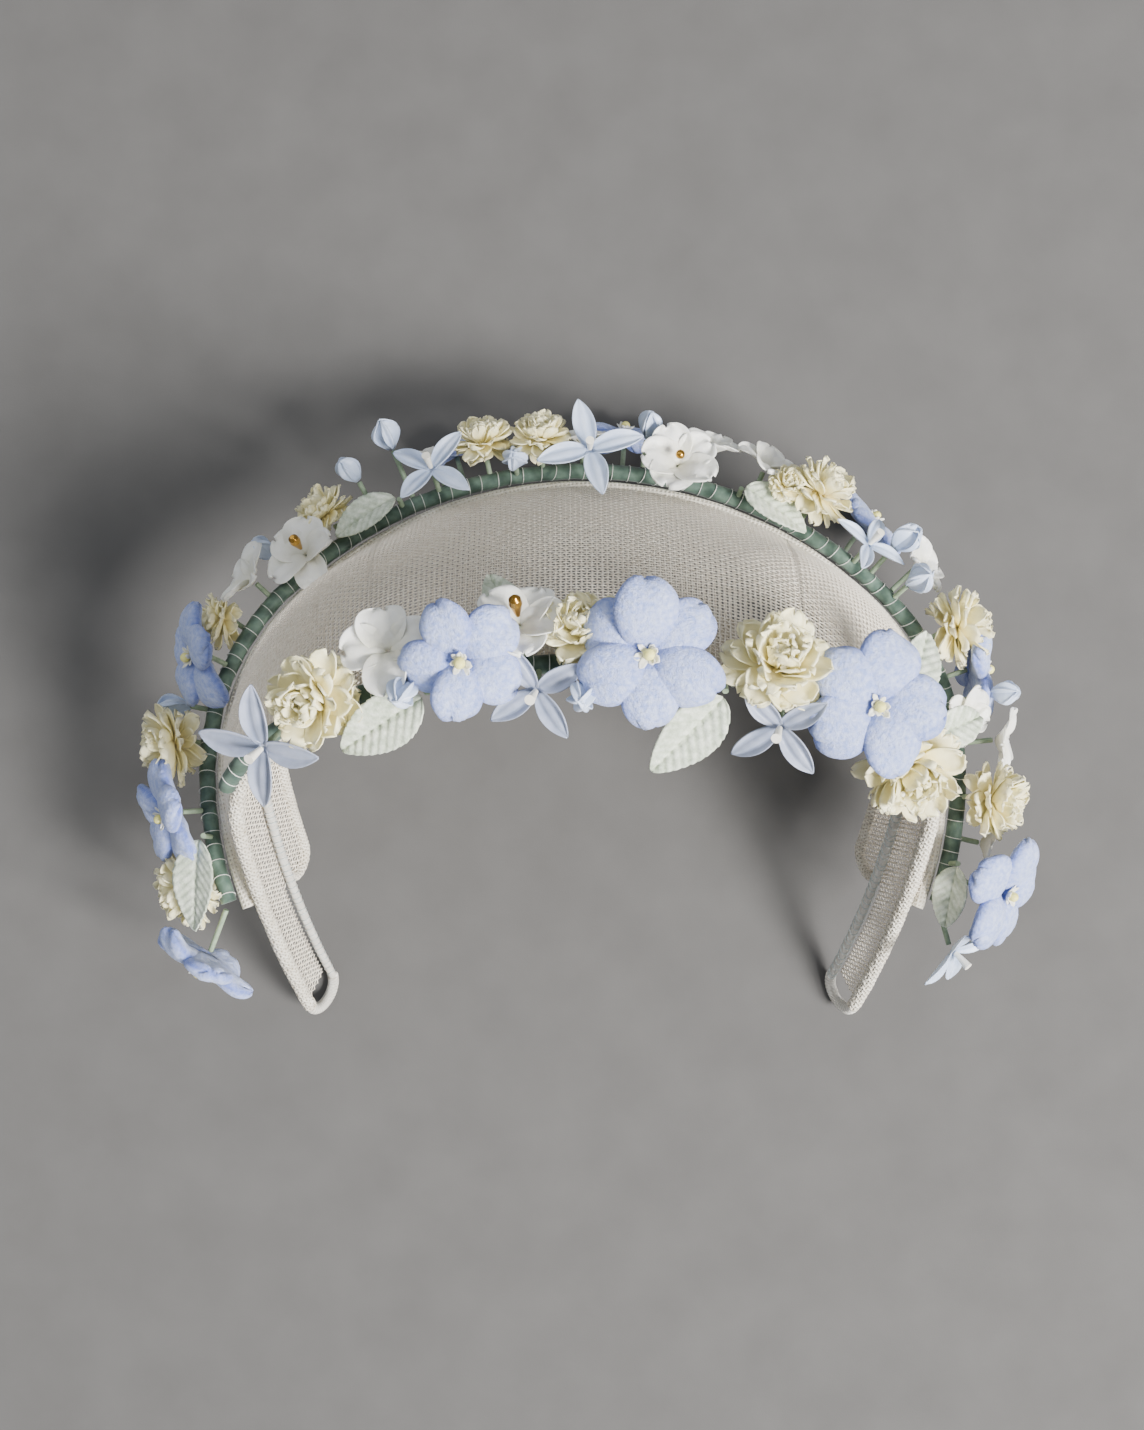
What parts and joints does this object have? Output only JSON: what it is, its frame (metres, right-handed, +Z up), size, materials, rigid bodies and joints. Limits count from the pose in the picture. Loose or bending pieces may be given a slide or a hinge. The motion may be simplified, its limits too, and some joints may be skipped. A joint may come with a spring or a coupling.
{
  "type": "flower crown",
  "caption": "Wired half-hat flower crown of open sinamay mesh with two garlands of blue velvet flowers, cream mums, satin stars and leaves",
  "frame": {"origin": "on the table, under the middle of the model's box", "axes": "+Z up from the table, +X across from foot to foot towards the wearer's left hand side of the model, +Y from the headband's feet towards the back of the crown"},
  "size_m": [0.1872, 0.137, 0.1157],
  "materials": {
    "sinamay_mesh": "open plain-woven sinamay",
    "sinamay_binding": "sinamay cut on the bias and sewn round a wire",
    "cotton_wrap": "cotton thread wound round a wire",
    "wire": "plain drawn millinery wire",
    "green_tape": "stretched floral tape, slightly waxy",
    "thread": "pale sewing thread",
    "blue_velvet": "padded velvet with a short nap",
    "cream_petals": "stiffened translucent cotton",
    "pale_blue_satin": "pressed satin with a pearly sheen",
    "white_satin": "pressed white satin",
    "leaf_velvet": "stiffened velvet with pressed veins",
    "gold_beads": "polished gold lacquer",
    "stamens": "dipped stamen heads"
  },
  "bodies": {
    "root": {"band_back_edge_binding": "sinamay_binding", "band_back_edge_wire": "wire", "band_mesh": "sinamay_mesh", "crown_edge_binding": "sinamay_binding", "crown_edge_wire": "wire", "crown_mesh_lower": "sinamay_mesh", "crown_mesh_upper": "sinamay_mesh", "flower_buds": "pale_blue_satin", "flower_stalks": "green_tape", "frame_wire": "wire", "front_edge_binding": "sinamay_binding", "gold_centre_flower": "white_satin", "gold_stamens": "gold_beads", "inner_star_flowers": "pale_blue_satin", "inner_stem_tape": "green_tape", "inner_stem_wires": "wire", "leaf_centre": "leaf_velvet", "leaf_centre_right": "leaf_velvet", "leaf_far_right": "leaf_velvet", "leaf_left": "leaf_velvet", "leaf_right": "leaf_velvet", "mum_centre_right": "cream_petals", "mum_left": "cream_petals", "mum_low_left": "cream_petals", "mum_middle": "cream_petals", "mum_right": "cream_petals", "mum_side_left": "cream_petals", "mum_side_right": "cream_petals", "mum_top": "cream_petals", "mum_top_left": "cream_petals", "mum_top_right": "cream_petals", "mum_upper_left": "cream_petals", "mum_upper_right": "cream_petals", "outer_cup_flowers": "white_satin", "outer_leaves": "leaf_velvet", "outer_star_flowers": "pale_blue_satin", "outer_stem_tape": "green_tape", "outer_stem_wires": "wire", "rib_cotton_wrap": "cotton_wrap", "rib_stitches": "thread", "small_mums": "cream_petals", "star_pistils": "stamens", "stem_stitches": "thread", "teardrop_flower_left": "white_satin", "teardrop_flower_middle": "white_satin", "tip_wrap_left": "cotton_wrap", "tip_wrap_right": "cotton_wrap", "velvet_flower_left": "blue_velvet", "velvet_flower_low_left": "blue_velvet", "velvet_flower_low_right": "blue_velvet", "velvet_flower_middle": "blue_velvet", "velvet_flower_right": "blue_velvet", "velvet_flower_side_left": "blue_velvet", "velvet_flower_side_right": "blue_velvet", "velvet_flower_top": "blue_velvet", "velvet_flower_top_left": "blue_velvet", "velvet_flower_top_right": "blue_velvet", "velvet_flower_upper_left": "blue_velvet", "white_flower_left": "white_satin", "yellow_stamens": "stamens"}
  },
  "joints": []
}
